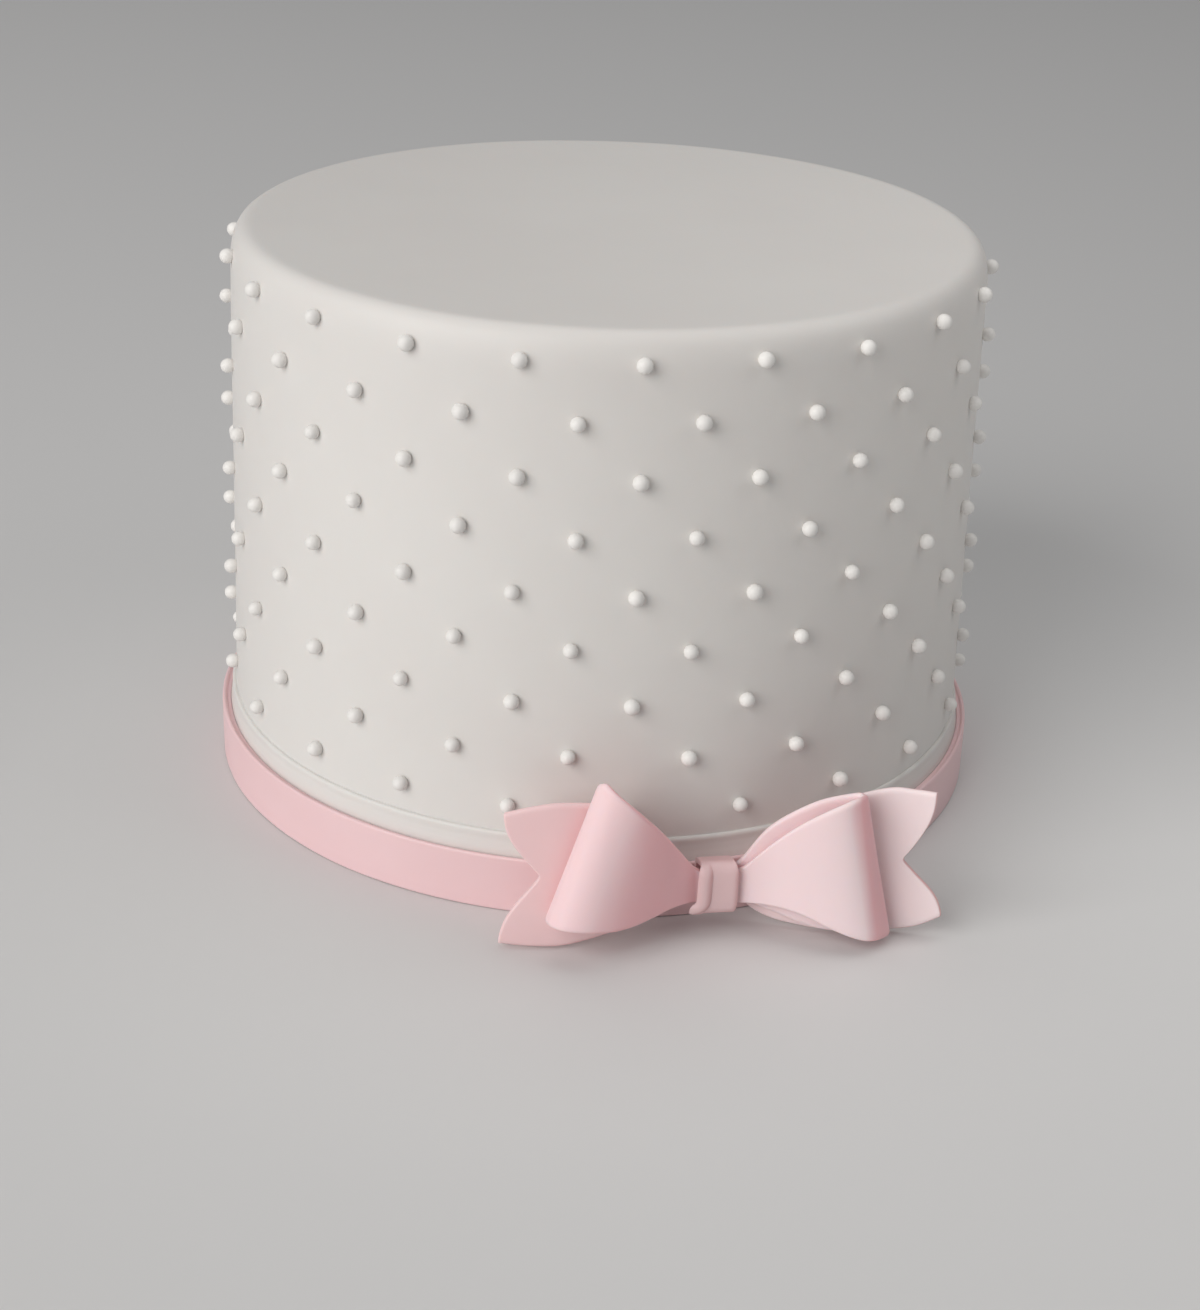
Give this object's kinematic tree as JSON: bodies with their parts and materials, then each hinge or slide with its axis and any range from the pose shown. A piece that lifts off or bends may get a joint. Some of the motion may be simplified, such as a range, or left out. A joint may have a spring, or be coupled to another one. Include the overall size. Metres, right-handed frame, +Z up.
{
  "type": "bow cake",
  "caption": "Tall round cake in smooth white icing, dotted with sugar pearls in staggered rows, with a pink sugarpaste ribbon round its foot and a bow at the front.",
  "frame": {"origin": "on the cake's axis, in the plane it stands on", "axes": "+Z up along the cake's axis, -Y from the axis towards the bow, +X to the right for someone looking at the bow"},
  "size_m": [0.2126, 0.2411, 0.1502],
  "materials": {
    "white_icing": "smooth matte sugarpaste with a faint sheen, off-white",
    "white_paste": "smooth matte sugarpaste strip, off-white",
    "pink_paste": "smooth matte sugarpaste, pale pink"
  },
  "bodies": {
    "root": {"cake": "white_icing", "foot_band": "white_paste", "ribbon": "pink_paste", "bow_tails": "pink_paste", "bow_loop_left": "pink_paste", "bow_loop_right": "pink_paste", "bow_knot": "pink_paste"}
  },
  "joints": []
}
